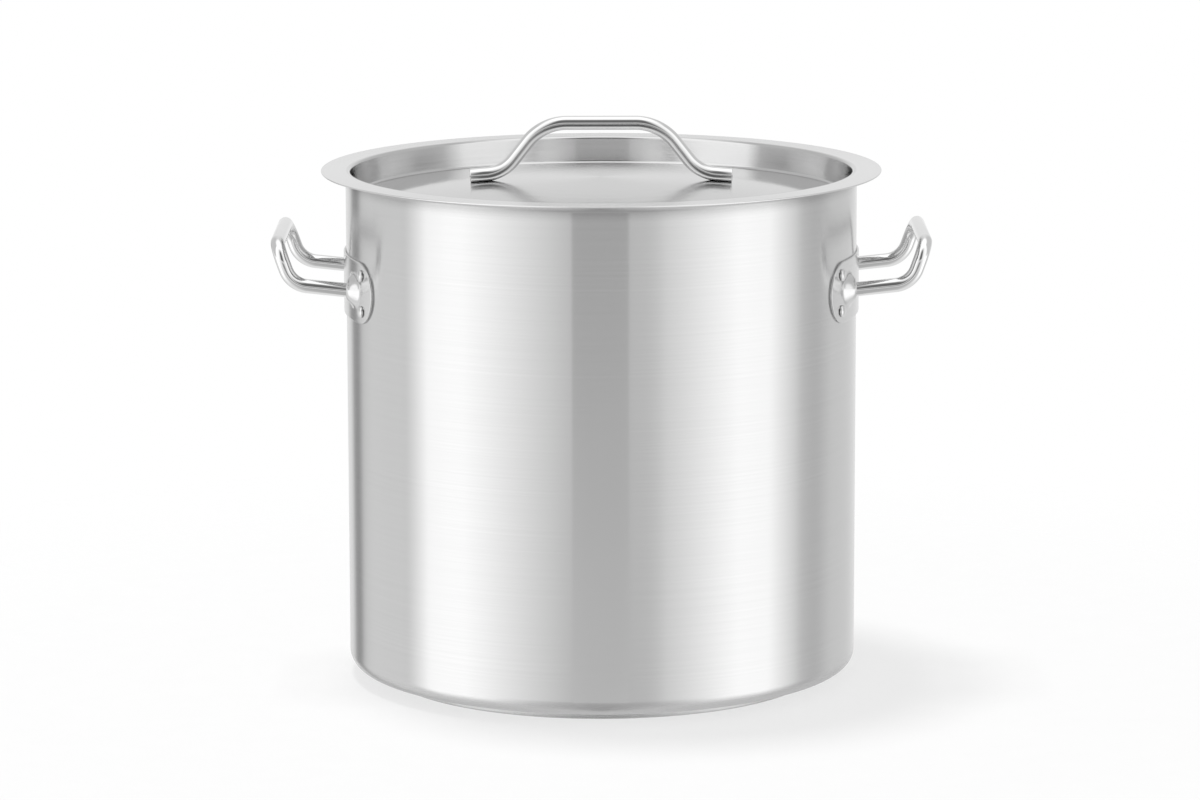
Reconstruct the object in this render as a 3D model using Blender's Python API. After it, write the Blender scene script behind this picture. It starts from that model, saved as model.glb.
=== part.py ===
"""Stock pot with a sunken lid, riveted loop handles and an encapsulated base.

Metres, +Z up. The origin is on the floor under the middle of the base. The two
loop handles lie along X, and the lid lifts off along +Z.
"""

import math

import bmesh
import bpy
from mathutils import Matrix, Vector

# Fit between pieces that rest on each other or pass through each other
FIT_GAP = 0.0003

# Pot shell, drawn from one sheet
POT_INSIDE_DIAMETER = 0.360
POT_HEIGHT = 0.362
POT_WALL = 0.0010
POT_CORNER = 0.0110
RIM_BEND = 0.0050
RIM_REACH = 0.0110

# Encapsulated base: an aluminium disc inside a steel cap, set in from the wall
BASE_SETBACK = 0.0250
BASE_HEIGHT = 0.0071
CAP_SHEET = 0.0008
CAP_CORNER = 0.0018

# Lid, pressed from one sheet: flange, plug wall, foot radius and domed panel
LID_OVERHANG = 0.0064
LID_SHEET = 0.0010
LID_PLUG_CLEARANCE = 0.0015
LID_SHOULDER = 0.0020
LID_DEPTH = 0.0194
LID_DRAFT = math.radians(7.0)
LID_FOOT = 0.0020
LID_DOME_RISE = 0.0132
LID_TRAVEL = 0.250

# Round bar that all three handles are bent from
ROD_DIAMETER = 0.0100

# Lid handle, welded on by its two flattened feet
LID_GRIP_HALF = 0.0415
LID_GRIP_FOOT = 0.0696
LID_GRIP_END = 0.0930
LID_GRIP_RISE = 0.0366
LID_GRIP_BEND = 0.0350
LID_FOOT_BEND = 0.0280
LID_GRIP_SEAT = 0.0006

# Side handles: two legs on each bracket, turned up to a grip. Reaches are from the
# wall, and heights are from the middle of the bracket.
LEG_SPACING = 0.116
LEG_LIFT = 0.0004
LEG_SLOPE = math.radians(6.0)
LEG_REACH = 0.0360
LEG_BEND = 0.0175
GRIP_REACH = 0.0460
GRIP_LIFT = 0.0324
GRIP_BEND = 0.0140

# Brackets, pressed from sheet, with a hollow boss around each leg
BRACKET_BELOW_RIM = 0.0772
BRACKET_TALL = 0.0434
BRACKET_SHEET = 0.0015
BRACKET_BEYOND_RIVET = 0.0168
BOSS_FOOT_RADIUS = 0.0115
BOSS_TOP_RADIUS = 0.0072
BOSS_STANDS_OUT = 0.0071

# Rivets through bracket and wall
RIVET_BEYOND_LEG = 0.0150
RIVET_PITCH = 0.0254
RIVET_SHANK = 0.0040
RIVET_HEAD = 0.0082
RIVET_HEAD_TALL = 0.0024
RIVET_TAIL = 0.0094
RIVET_TAIL_TALL = 0.0012

# Facets
ROUND_STEPS = 72
BEND_STEPS = 5

POT_INSIDE = POT_INSIDE_DIAMETER / 2
POT_OUTSIDE = POT_INSIDE + POT_WALL
ROD_RADIUS = ROD_DIAMETER / 2
BRACKET_INSIDE = POT_OUTSIDE + FIT_GAP
BRACKET_OUTSIDE = BRACKET_INSIDE + BRACKET_SHEET
BRACKET_MIDDLE = POT_HEIGHT - BRACKET_BELOW_RIM
BOSS_TOP = math.sqrt(POT_OUTSIDE**2 - (LEG_SPACING / 2) ** 2) + BOSS_STANDS_OUT
RIVET_ANGLE = math.asin((LEG_SPACING / 2 + RIVET_BEYOND_LEG) / BRACKET_OUTSIDE)
BASE_RADIUS = POT_OUTSIDE - BASE_SETBACK
LID_RADIUS = POT_OUTSIDE + RIM_REACH + LID_OVERHANG
LID_TOP = POT_HEIGHT + FIT_GAP + LID_SHEET


def clear_scene():
    for obj in list(bpy.data.objects):
        bpy.data.objects.remove(obj, do_unlink=True)


def steel(name, colour, roughness):
    """A metal finish for one piece."""
    made = bpy.data.materials.new(name)
    made.use_nodes = True
    shader = made.node_tree.nodes["Principled BSDF"]
    shader.inputs["Base Color"].default_value = (*colour, 1.0)
    shader.inputs["Metallic"].default_value = 1.0
    shader.inputs["Roughness"].default_value = roughness
    made.diffuse_color = (*colour, 1.0)
    return made


def brushed(name):
    return steel(name, (0.66, 0.66, 0.66), 0.34)


def polished(name):
    return steel(name, (0.74, 0.74, 0.74), 0.10)


def add_object(name, mesh, material=None, smooth=True):
    obj = bpy.data.objects.new(name, mesh)
    bpy.context.scene.collection.objects.link(obj)
    if material is not None:
        mesh.materials.append(material)
    if smooth:
        mesh.polygons.foreach_set("use_smooth", [True] * len(mesh.polygons))
    return obj


def hide_helper(obj):
    """A cutter takes part in Booleans but is no piece of the pot."""
    obj.hide_render = True
    obj.display_type = "WIRE"
    return obj


def arc(centre, radius, start, end, steps=BEND_STEPS):
    """Points of an arc in the profile plane, angles in degrees from +R to +Z."""
    points = []
    for i in range(steps + 1):
        angle = math.radians(start + (end - start) * i / steps)
        points.append((centre[0] + radius * math.cos(angle), centre[1] + radius * math.sin(angle)))
    return points


def revolve(name, profile, material=None, sheet=0.0, steps=ROUND_STEPS):
    """A profile in the XZ plane turned about Z. With a sheet gauge, the profile is
    the outer skin and the gauge goes inwards."""
    mesh = bpy.data.meshes.new(name)
    points = [(r, 0.0, z) for r, z in profile]
    edges = [(i, i + 1) for i in range(len(points) - 1)]
    mesh.from_pydata(points, edges, [])
    obj = add_object(name, mesh, material, smooth=False)
    turn = obj.modifiers.new("turn", "SCREW")
    turn.axis = "Z"
    turn.angle = math.tau
    turn.steps = steps
    turn.render_steps = steps
    turn.use_merge_vertices = True
    turn.merge_threshold = 0.00005
    turn.use_smooth_shade = True
    if sheet:
        gauge = obj.modifiers.new("gauge", "SOLIDIFY")
        gauge.thickness = sheet
        gauge.offset = -1.0
        gauge.use_even_offset = True
    return obj


def cut(obj, cutter, operation="DIFFERENCE"):
    step = obj.modifiers.new(cutter.name, "BOOLEAN")
    step.operation = operation
    step.solver = "EXACT"
    step.object = cutter
    return step


def add_cone(bm, start, end, start_radius, end_radius, steps):
    """A capped cone or cylinder between two points."""
    along = end - start
    turned = along.to_track_quat("Z", "Y").to_matrix().to_4x4()
    place = Matrix.Translation((start + end) / 2) @ turned
    bmesh.ops.create_cone(
        bm,
        cap_ends=True,
        segments=steps,
        radius1=start_radius,
        radius2=end_radius,
        depth=along.length,
        matrix=place,
    )


def from_bmesh(name, bm, material=None):
    bmesh.ops.recalc_face_normals(bm, faces=bm.faces)
    mesh = bpy.data.meshes.new(name)
    bm.to_mesh(mesh)
    bm.free()
    return add_object(name, mesh, material)


def rounded_path(corners, bends):
    """A polyline with each inner corner replaced by an arc of the given radius."""
    path = [corners[0]]
    for before, corner, after, radius in zip(corners, corners[1:], corners[2:], bends):
        back = (before - corner).normalized()
        ahead = (after - corner).normalized()
        half = back.angle(ahead) / 2
        centre = corner + (back + ahead).normalized() * (radius / math.sin(half))
        reach = radius / math.tan(half)
        first = corner + back * reach - centre
        turn = first.rotation_difference(corner + ahead * reach - centre)
        for i in range(BEND_STEPS + 1):
            step = turn.copy()
            step.angle = turn.angle * i / BEND_STEPS
            path.append(centre + step @ first)
    path.append(corners[-1])
    return path


def bent_rod(name, corners, bends, material):
    """Round bar swept along the bent path, its two ends cut square."""
    path = rounded_path(corners, bends)
    curve = bpy.data.curves.new(name + "_path", "CURVE")
    curve.dimensions = "3D"
    curve.bevel_depth = ROD_RADIUS
    curve.bevel_resolution = 5
    curve.use_fill_caps = True
    line = curve.splines.new("POLY")
    line.points.add(len(path) - 1)
    for point, place in zip(line.points, path):
        point.co = (*place, 1.0)
    guide = bpy.data.objects.new(name + "_path", curve)
    bpy.context.scene.collection.objects.link(guide)
    bpy.context.view_layer.update()
    swept = guide.evaluated_get(bpy.context.evaluated_depsgraph_get())
    bm = bmesh.new()
    bm.from_mesh(bpy.data.meshes.new_from_object(swept))
    bpy.data.objects.remove(guide, do_unlink=True)
    bmesh.ops.remove_doubles(bm, verts=bm.verts, dist=0.00001)
    return from_bmesh(name, bm, material)


def pot_body():
    """Shell profile: under the rim, down the wall, round the corner, to the axis."""
    lip_under = POT_HEIGHT - POT_WALL
    bend_centre = (POT_INSIDE + RIM_BEND, POT_HEIGHT - RIM_BEND)
    profile = [(POT_OUTSIDE + RIM_REACH, lip_under)]
    profile += arc(bend_centre, RIM_BEND - POT_WALL, 90, 180, 4)
    profile += arc((POT_OUTSIDE - POT_CORNER, BASE_HEIGHT + POT_CORNER), POT_CORNER, 0, -90)
    profile.append((0.0, BASE_HEIGHT))
    return revolve("pot_body", profile, brushed("pot_steel"), POT_WALL)


def base_pieces():
    """The cap stands just below the pot's bottom, and the disc lies inside it."""
    top = BASE_HEIGHT - FIT_GAP
    cap = [(BASE_RADIUS, top)]
    cap += arc((BASE_RADIUS - CAP_CORNER, CAP_CORNER), CAP_CORNER, 0, -90, 3)
    cap.append((0.0, 0.0))
    revolve("base_cap", cap, brushed("cap_steel"), CAP_SHEET)
    inside = BASE_RADIUS - CAP_SHEET - FIT_GAP - CAP_CORNER
    low = CAP_SHEET + FIT_GAP
    disc = [(0.0, top), (inside, top), (inside, low), (0.0, low)]
    revolve("core_disc", disc, steel("core_aluminium", (0.80, 0.80, 0.81), 0.40))


def plug_foot():
    """Where the plug wall's slope ends and the foot radius begins."""
    wall_top = POT_INSIDE - LID_PLUG_CLEARANCE - LID_SHEET
    drop = LID_DEPTH - LID_SHOULDER - LID_FOOT
    return wall_top, wall_top - drop * math.tan(LID_DRAFT)


def dome_edge():
    """Radius and height of the rim of the domed panel."""
    return plug_foot()[1] - LID_FOOT, LID_TOP - LID_DEPTH


def dome_radius():
    edge = dome_edge()[0]
    return (edge**2 + LID_DOME_RISE**2) / (2 * LID_DOME_RISE)


def dome_height(radius):
    """Height of the panel's upper face at this distance from the axis."""
    ball = dome_radius()
    top = dome_edge()[1] + LID_DOME_RISE
    return top - ball + math.sqrt(ball**2 - radius**2)


def dome_points(edge, steps, lift=0.0):
    return [(edge * i / steps, dome_height(edge * i / steps) + lift) for i in range(steps + 1)]


def lid_panel():
    """Upper skin of the lid, from the axis out over the dome, up the plug, to the flange."""
    wall_top, wall_foot = plug_foot()
    edge, low = dome_edge()
    draft = math.degrees(LID_DRAFT)
    profile = dome_points(edge, 6)[:-1]
    profile += arc((wall_foot - LID_FOOT, low + LID_FOOT), LID_FOOT, -90, -draft, 4)
    profile += arc((wall_top + LID_SHOULDER, LID_TOP - LID_SHOULDER), LID_SHOULDER, 180 - draft, 90, 4)
    profile.append((LID_RADIUS, LID_TOP))
    return revolve("lid_panel", profile, brushed("lid_steel"), LID_SHEET)


def lid_handle():
    """The rod's feet follow the dome's slope and are flattened where they are welded."""
    middle = (LID_GRIP_FOOT + LID_GRIP_END) / 2
    slope = middle / math.sqrt(dome_radius() ** 2 - middle**2)
    foot = dome_height(middle) + FIT_GAP + ROD_RADIUS - LID_GRIP_SEAT
    half = [
        (LID_GRIP_HALF, foot + LID_GRIP_RISE),
        (LID_GRIP_FOOT, foot + slope * (middle - LID_GRIP_FOOT)),
        (LID_GRIP_END, foot - slope * (LID_GRIP_END - middle)),
    ]
    corners = [Vector((-x, 0.0, z)) for x, z in reversed(half)]
    corners += [Vector((x, 0.0, z)) for x, z in half]
    bends = [LID_FOOT_BEND, LID_GRIP_BEND, LID_GRIP_BEND, LID_FOOT_BEND]
    handle = bent_rod("lid_handle", corners, bends, polished("lid_handle_steel"))
    seat = dome_points(LID_GRIP_END + ROD_DIAMETER, 6, FIT_GAP)
    seat.append((seat[-1][0], LID_TOP - LID_DEPTH))
    seat.append((0.0, LID_TOP - LID_DEPTH))
    cut(handle, hide_helper(revolve("lid_handle_seat", seat)))
    return handle


def leg_height(x):
    """Height of a leg's axis at this distance along X."""
    return BRACKET_MIDDLE + LEG_LIFT + (x - BOSS_TOP) * math.tan(LEG_SLOPE)


def side_handle(side):
    """Loop bent from one bar: leg, corner, riser, grip and back."""
    half = LEG_SPACING / 2
    nearest = math.sqrt(POT_OUTSIDE**2 - (half - ROD_RADIUS) ** 2)
    end = nearest + ROD_RADIUS * math.sin(LEG_SLOPE) + 3 * FIT_GAP
    corner = POT_OUTSIDE + LEG_REACH
    places = [
        (end, leg_height(end)),
        (corner, leg_height(corner)),
        (POT_OUTSIDE + GRIP_REACH, BRACKET_MIDDLE + GRIP_LIFT),
    ]
    corners = [Vector((x, -half, z)) for x, z in places]
    corners += [Vector((x, half, z)) for x, z in reversed(places)]
    bends = [LEG_BEND, GRIP_BEND, GRIP_BEND, LEG_BEND]
    return bent_rod(side + "_handle", corners, bends, polished(side + "_handle_steel"))


def bracket_plate(name, material):
    """Straight-sided plate with round ends, wrapped on the wall. Its inner side is
    deeper than needed, and the wall's own radius trims it."""
    tall = BRACKET_TALL / 2
    straight = RIVET_ANGLE * BRACKET_OUTSIDE + BRACKET_BEYOND_RIVET - tall
    columns = [(straight * i / 4, tall) for i in range(5)]
    for degrees in (18, 36, 52, 66, 78, 86):
        angle = math.radians(degrees)
        columns.append((straight + tall * math.sin(angle), tall * math.cos(angle)))
    columns = [(-along, half) for along, half in reversed(columns[1:])] + columns
    bm = bmesh.new()
    rings = []
    for along, half in columns:
        angle = along / BRACKET_OUTSIDE
        ring = []
        for radius, lift in (
            (POT_INSIDE, -half),
            (POT_INSIDE, half),
            (BRACKET_OUTSIDE, half),
            (BRACKET_OUTSIDE, -half),
        ):
            place = (radius * math.cos(angle), radius * math.sin(angle), BRACKET_MIDDLE + lift)
            ring.append(bm.verts.new(place))
        rings.append(ring)
    for first, second in zip(rings, rings[1:]):
        for i in range(4):
            bm.faces.new((first[i], first[i - 1], second[i - 1], second[i]))
    bm.faces.new(rings[0])
    bm.faces.new(rings[-1])
    plate = from_bmesh(name, bm, material)
    plate.data.polygons.foreach_set("use_smooth", [False] * len(plate.data.polygons))
    return plate


def boss_cones(name, inwards, leg_hole=False):
    """Both bosses of a bracket, or what hollows them, or the holes for the legs."""
    along = Vector((math.cos(LEG_SLOPE), 0.0, math.sin(LEG_SLOPE)))
    flare = (BOSS_FOOT_RADIUS - BOSS_TOP_RADIUS) / BOSS_STANDS_OUT
    deep = 2 * BOSS_STANDS_OUT
    bm = bmesh.new()
    for half in (-LEG_SPACING / 2, LEG_SPACING / 2):
        top = Vector((BOSS_TOP, half, leg_height(BOSS_TOP))) - along * inwards
        if leg_hole:
            radius = ROD_RADIUS + FIT_GAP
            add_cone(bm, top - along * deep, top + along * deep, radius, radius, 20)
        else:
            wide = BOSS_TOP_RADIUS + flare * deep
            add_cone(bm, top - along * deep, top, wide, BOSS_TOP_RADIUS, 24)
    return hide_helper(from_bmesh(name, bm))


def rivet_places():
    """Direction from the axis and height of the four rivets of one bracket."""
    places = []
    for turn in (-RIVET_ANGLE, RIVET_ANGLE):
        for lift in (RIVET_PITCH / 2, -RIVET_PITCH / 2):
            places.append((turn, BRACKET_MIDDLE + lift))
    return places


def rivet_holes(name):
    bm = bmesh.new()
    radius = RIVET_SHANK / 2 + FIT_GAP
    for turn, height in rivet_places():
        out = Vector((math.cos(turn), math.sin(turn), 0.0))
        level = Vector((0.0, 0.0, height))
        start = out * (POT_INSIDE - RIVET_TAIL) + level
        add_cone(bm, start, out * (BRACKET_OUTSIDE + RIVET_TAIL) + level, radius, radius, 12)
    return hide_helper(from_bmesh(name, bm))


def rivet(name, turn, height):
    """Button head outside, shank through plate and wall, flat tail inside the pot."""
    seat = BRACKET_OUTSIDE + FIT_GAP
    tail = POT_INSIDE * math.cos(math.pi / ROUND_STEPS) - FIT_GAP
    head = RIVET_HEAD / 2
    profile = [
        (0.0, seat + RIVET_HEAD_TALL),
        (head * 0.62, seat + RIVET_HEAD_TALL * 0.92),
        (head * 0.92, seat + RIVET_HEAD_TALL * 0.60),
        (head, seat),
        (RIVET_SHANK / 2, seat),
        (RIVET_SHANK / 2, tail),
        (RIVET_TAIL / 2, tail),
        (RIVET_TAIL / 2, tail - RIVET_TAIL_TALL * 0.5),
        (RIVET_TAIL / 2 * 0.80, tail - RIVET_TAIL_TALL),
        (0.0, tail - RIVET_TAIL_TALL),
    ]
    obj = revolve(name, profile, polished(name + "_steel"), steps=12)
    lay_down = Matrix.Rotation(math.pi / 2, 4, "Y")
    obj.matrix_world = Matrix.Translation((0.0, 0.0, height)) @ Matrix.Rotation(turn, 4, "Z") @ lay_down
    return obj


def side_pieces(side, quarter_turns, shell):
    """Everything on one side, modelled at +X and turned about the pot's axis."""
    turned = Matrix.Rotation(quarter_turns * math.pi / 2, 4, "Z")
    side_handle(side).matrix_world = turned
    bracket = bracket_plate(side + "_bracket", brushed(side + "_bracket_steel"))
    bracket.matrix_world = turned
    flare = math.atan2(BOSS_FOOT_RADIUS - BOSS_TOP_RADIUS, BOSS_STANDS_OUT)
    inwards = BRACKET_SHEET / math.sin(flare)
    bosses = boss_cones(side + "_bosses", 0.0)
    wall_profile = [
        (0.0, BRACKET_MIDDLE + BRACKET_TALL),
        (BRACKET_INSIDE, BRACKET_MIDDLE + BRACKET_TALL),
        (BRACKET_INSIDE, BRACKET_MIDDLE - BRACKET_TALL),
        (0.0, BRACKET_MIDDLE - BRACKET_TALL),
    ]
    wall = hide_helper(revolve(side + "_wall_trim", wall_profile))
    hollows = boss_cones(side + "_boss_hollows", inwards)
    leg_holes = boss_cones(side + "_leg_holes", 0.0, leg_hole=True)
    holes = rivet_holes(side + "_rivet_holes")
    for cutter in (bosses, wall, hollows, leg_holes, holes):
        cutter.matrix_world = turned
    cut(bracket, bosses, "UNION")
    cut(bracket, wall)
    cut(bracket, hollows)
    cut(bracket, leg_holes)
    cut(bracket, holes)
    cut(shell, holes)
    for number, (turn, height) in enumerate(rivet_places(), 1):
        made = rivet(f"{side}_rivet_{number}", turn, height)
        made.matrix_world = turned @ made.matrix_world


def hang_on_lift(pieces):
    """The lid's pieces ride on an empty that sits on the axis it lifts along."""
    lift = bpy.data.objects.new("lid_lift", None)
    bpy.context.scene.collection.objects.link(lift)
    lift.location.z = POT_HEIGHT
    lift.empty_display_size = LID_TRAVEL
    bpy.context.view_layer.update()
    for piece in pieces:
        piece.parent = lift
        piece.matrix_parent_inverse = lift.matrix_world.inverted()


def main():
    clear_scene()
    shell = pot_body()
    base_pieces()
    side_pieces("right", 0, shell)
    side_pieces("left", 2, shell)
    hang_on_lift([lid_panel(), lid_handle()])


main()
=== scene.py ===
import math

import bmesh
import bpy
from mathutils import Matrix, Vector


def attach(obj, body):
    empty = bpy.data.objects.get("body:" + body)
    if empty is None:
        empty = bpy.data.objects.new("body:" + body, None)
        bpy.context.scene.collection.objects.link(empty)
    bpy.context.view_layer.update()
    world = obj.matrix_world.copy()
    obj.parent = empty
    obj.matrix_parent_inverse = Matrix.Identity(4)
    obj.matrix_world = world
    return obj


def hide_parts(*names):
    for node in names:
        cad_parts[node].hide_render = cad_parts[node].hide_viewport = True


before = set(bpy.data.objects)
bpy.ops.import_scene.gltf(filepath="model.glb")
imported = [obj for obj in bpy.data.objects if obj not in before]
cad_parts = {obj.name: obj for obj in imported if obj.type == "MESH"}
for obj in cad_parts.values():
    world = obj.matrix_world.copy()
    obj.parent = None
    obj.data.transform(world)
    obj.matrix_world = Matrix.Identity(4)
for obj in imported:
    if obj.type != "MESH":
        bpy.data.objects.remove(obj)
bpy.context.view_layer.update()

# Sizes of the pot in metres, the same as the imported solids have
FIT_GAP = 0.0003
POT_INSIDE = 0.180
POT_HEIGHT = 0.362
POT_WALL = 0.0010
POT_CORNER = 0.0110
RIM_BEND = 0.0050
RIM_REACH = 0.0110
BASE_SETBACK = 0.0250
BASE_HEIGHT = 0.0071
CAP_SHEET = 0.0008
CAP_CORNER = 0.0018
LID_OVERHANG = 0.0064
LID_SHEET = 0.0010
LID_PLUG_CLEARANCE = 0.0015
LID_SHOULDER = 0.0020
LID_DEPTH = 0.0194
LID_DRAFT = math.radians(7.0)
LID_FOOT = 0.0020
LID_DOME_RISE = 0.0132
ROD_RADIUS = 0.0050
ROD_END_ROUND = 0.0007
LID_GRIP_HALF = 0.0415
LID_GRIP_FOOT = 0.0696
LID_GRIP_END = 0.0930
LID_GRIP_RISE = 0.0366
LID_GRIP_BEND = 0.0350
LID_FOOT_BEND = 0.0280
LID_GRIP_SEAT = 0.0006
LEG_SPACING = 0.116
LEG_LIFT = 0.0004
LEG_SLOPE = math.radians(6.0)
LEG_REACH = 0.0360
LEG_BEND = 0.0175
GRIP_REACH = 0.0460
GRIP_LIFT = 0.0324
GRIP_BEND = 0.0140
BRACKET_BELOW_RIM = 0.0772
BRACKET_TALL = 0.0434
BRACKET_SHEET = 0.0015
BRACKET_BEYOND_RIVET = 0.0168
BRACKET_EDGE_ROUND = 0.0006
BOSS_FOOT_RADIUS = 0.0115
BOSS_TOP_RADIUS = 0.0072
BOSS_STANDS_OUT = 0.0071
BOSS_FILLET = 0.0022
RIVET_BEYOND_LEG = 0.0150
RIVET_PITCH = 0.0254
RIVET_SHANK = 0.0040
RIVET_HEAD = 0.0082
RIVET_HEAD_TALL = 0.0024
RIVET_TAIL = 0.0094
RIVET_TAIL_TALL = 0.0012

POT_OUTSIDE = POT_INSIDE + POT_WALL
BRACKET_INSIDE = POT_OUTSIDE + FIT_GAP
BRACKET_OUTSIDE = BRACKET_INSIDE + BRACKET_SHEET
BRACKET_MIDDLE = POT_HEIGHT - BRACKET_BELOW_RIM
BOSS_TOP = math.sqrt(POT_OUTSIDE**2 - (LEG_SPACING / 2) ** 2) + BOSS_STANDS_OUT
RIVET_ANGLE = math.asin((LEG_SPACING / 2 + RIVET_BEYOND_LEG) / BRACKET_OUTSIDE)
BASE_RADIUS = POT_OUTSIDE - BASE_SETBACK
LID_RADIUS = POT_OUTSIDE + RIM_REACH + LID_OVERHANG
LID_TOP = POT_HEIGHT + FIT_GAP + LID_SHEET

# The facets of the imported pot's wall, against which the rivets' tails lie, and the curves of
# the rivets: shares that stand upright or lie flat, and powers that round the button
WALL_FACETS = 72
BUTTON_UPRIGHT = 0.12
BUTTON_CROWN = 0.8
BUTTON_WIDENS = 0.92
TAIL_UPRIGHT = 0.5
TAIL_FLAT = 0.80

# Fineness of the turned pieces: steps round the axis and along each arc, the longest straight
# run, and how close to a bend a run is held
STEPS_ROUND = 288
CORNER_STEPS = 14
RIM_STEPS = 12
LIP_STEPS = 8
CAP_CORNER_STEPS = 8
CAP_LIP_STEPS = 6
LID_BEND_STEPS = 10
DOME_STEPS = 14
LONGEST_RUN = 0.024
LONGEST_LID_RUN = 0.016
HOLD = 0.0004
TURNING_RADIUS = 0.1
RIVET_SIDES = 32
BUTTON_STEPS = 12
TAIL_STEPS = 6

# Fineness of the rods and the bracket plates
ROD_SIDES = 48
BEND_STEPS = 14
ROD_END_STEPS = 4
PLATE_STRAIGHT_STEPS = 120
PLATE_END_STEPS = 28
PLATE_EDGE_STEPS = 5
PLATE_RINGS = 26

# Points closer than this are one, and corners sharper than this stay crisp
WELD = 0.000002
CRISP_DEGREES = 40

# Faces of the pot that look into it: they point inwards or up by more than this
LOOKS_IN = -0.3
LOOKS_UP = 0.5

# How far the finishes vary: polish and tone along the brush lines, polish over broad patches,
# and the depth that the light finds in the lines
LINE_POLISH = 0.02
LINE_TONE = 0.022
PATCH_POLISH = 0.01
LINE_STRENGTH = 0.04
LINE_DEPTH = 0.0001
NOISE_LOW = 0.3
NOISE_HIGH = 0.7
QUARTER_TURN = 0.25

# Brush lines and patches, by how often they change along X, Y and Z
WALL_FINE_LINES = (5.0, 5.0, 3200.0)
WALL_BROAD_LINES = (2.0, 2.0, 900.0)
WALL_FINE_SHARE = 0.7
WALL_BROAD_SHARE = 0.3
WALL_PATCHES = (7.0, 7.0, 5.0)
CIRCLE_LINES = 2200.0
CIRCLE_DRIFT = 4.0
CIRCLE_PATCHES = (8.0, 8.0, 8.0)
PLATE_RUB_MARKS = (60.0, 60.0, 900.0)
PLATE_PATCHES = 30.0
CORE_ROLLING_LINES = (15.0, 700.0, 700.0)

# How far the shade painted into the wall's tone under its overhang reaches, and how much duller the
# wall is beside the handles, at distances from the pot's middle plane where the dulling starts and
# is full
PAINTED_SHADE_REACH = 0.011
SIDE_DULLING = 0.07
DULLING_STARTS = 0.115
DULLING_FULL = 0.147

# The bars' handling haze and drawing marks, with what each does to polish and tone
BAR_HAZE = 45.0
BAR_MARKS = 900.0
HAZE_POLISH = (-0.02, 0.03)
HAZE_TONE = 0.015
MARK_POLISH = 0.008
MARK_STRENGTH = 0.02

# The core's plain colour, polish and their ranges along the rolling
CORE_COLOUR = (0.80, 0.80, 0.81)
CORE_ROUGHNESS = 0.42
CORE_POLISH = (0.36, 0.48)
CORE_TONE = (0.77, 0.83)


# Node helpers

def add_node(tree, kind, **settings):
    made = tree.nodes.new(kind)
    for name, value in settings.items():
        setattr(made, name, value)
    return made


def join(tree, source, target):
    tree.links.new(source, target)


def arithmetic(tree, operation, first, second=None, third=None):
    """A Math node. Each value is a socket or a number."""
    made = add_node(tree, "ShaderNodeMath", operation=operation)
    for place, value in enumerate((first, second, third)):
        if value is None:
            continue
        if isinstance(value, (int, float)):
            made.inputs[place].default_value = value
        else:
            join(tree, value, made.inputs[place])
    return made.outputs[0]


# Geometry trees

def start_tree(name, sizes):
    """A Geometry Nodes tree whose inputs are named for the sizes it takes."""
    tree = bpy.data.node_groups.new(name, "GeometryNodeTree")
    tree.is_modifier = True
    sockets = tree.interface
    sockets.new_socket("Geometry", in_out="INPUT", socket_type="NodeSocketGeometry")
    for label, kind in sizes:
        sockets.new_socket(label, in_out="INPUT", socket_type="NodeSocket" + kind)
    sockets.new_socket("Geometry", in_out="OUTPUT", socket_type="NodeSocketGeometry")
    return tree, add_node(tree, "NodeGroupInput").outputs, add_node(tree, "NodeGroupOutput")


def end_tree(tree, geometry, finish, group_output):
    """Welds the seams, shades smooth, realizes instances and sets the finish."""
    weld = add_node(tree, "GeometryNodeMergeByDistance")
    weld.inputs["Distance"].default_value = WELD
    smooth = add_node(tree, "GeometryNodeSetShadeSmooth")
    real = add_node(tree, "GeometryNodeRealizeInstances")
    coat = add_node(tree, "GeometryNodeSetMaterial")
    join(tree, geometry, real.inputs[0])
    join(tree, real.outputs[0], weld.inputs["Geometry"])
    join(tree, weld.outputs[0], smooth.inputs["Geometry"])
    join(tree, smooth.outputs[0], coat.inputs["Geometry"])
    join(tree, finish, coat.inputs["Material"])
    join(tree, coat.outputs[0], group_output.inputs[0])
    return tree


def turned_in_tree(tree, profile, path_radius, steps):
    """Sweeps a half profile round a circle: the profile's X runs outwards, its Y down."""
    circle = add_node(tree, "GeometryNodeCurvePrimitiveCircle", mode="RADIUS")
    upright = add_node(tree, "GeometryNodeSetCurveNormal", mode="Z_UP")
    sweep = add_node(tree, "GeometryNodeCurveToMesh")
    join(tree, steps, circle.inputs["Resolution"])
    join(tree, path_radius, circle.inputs["Radius"])
    join(tree, circle.outputs["Curve"], upright.inputs["Curve"])
    join(tree, upright.outputs["Curve"], sweep.inputs["Curve"])
    join(tree, profile, sweep.inputs["Profile Curve"])
    return sweep.outputs["Mesh"]


def turned_sheet_tree():
    """A sheet piece turned about the pot's axis from its profile."""
    tree, given, out = start_tree(
        "turned_sheet", [("Path radius", "Float"), ("Steps round", "Int"), ("Finish", "Material")]
    )
    skin = turned_in_tree(tree, given["Geometry"], given["Path radius"], given["Steps round"])
    return end_tree(tree, skin, given["Finish"], out)


def bent_rod_tree():
    """Round bar swept along a bent path."""
    tree, given, out = start_tree(
        "bent_rod", [("Bar radius", "Float"), ("Sides", "Int"), ("Finish", "Material")]
    )
    section = add_node(tree, "GeometryNodeCurvePrimitiveCircle", mode="RADIUS")
    sweep = add_node(tree, "GeometryNodeCurveToMesh")
    slim = add_node(tree, "GeometryNodeInputRadius")
    sweep.inputs["Fill Caps"].default_value = True
    join(tree, given["Sides"], section.inputs["Resolution"])
    join(tree, given["Bar radius"], section.inputs["Radius"])
    join(tree, given["Geometry"], sweep.inputs["Curve"])
    join(tree, section.outputs["Curve"], sweep.inputs["Profile Curve"])
    join(tree, slim.outputs["Radius"], sweep.inputs["Scale"])
    return end_tree(tree, sweep.outputs["Mesh"], given["Finish"], out)


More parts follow.
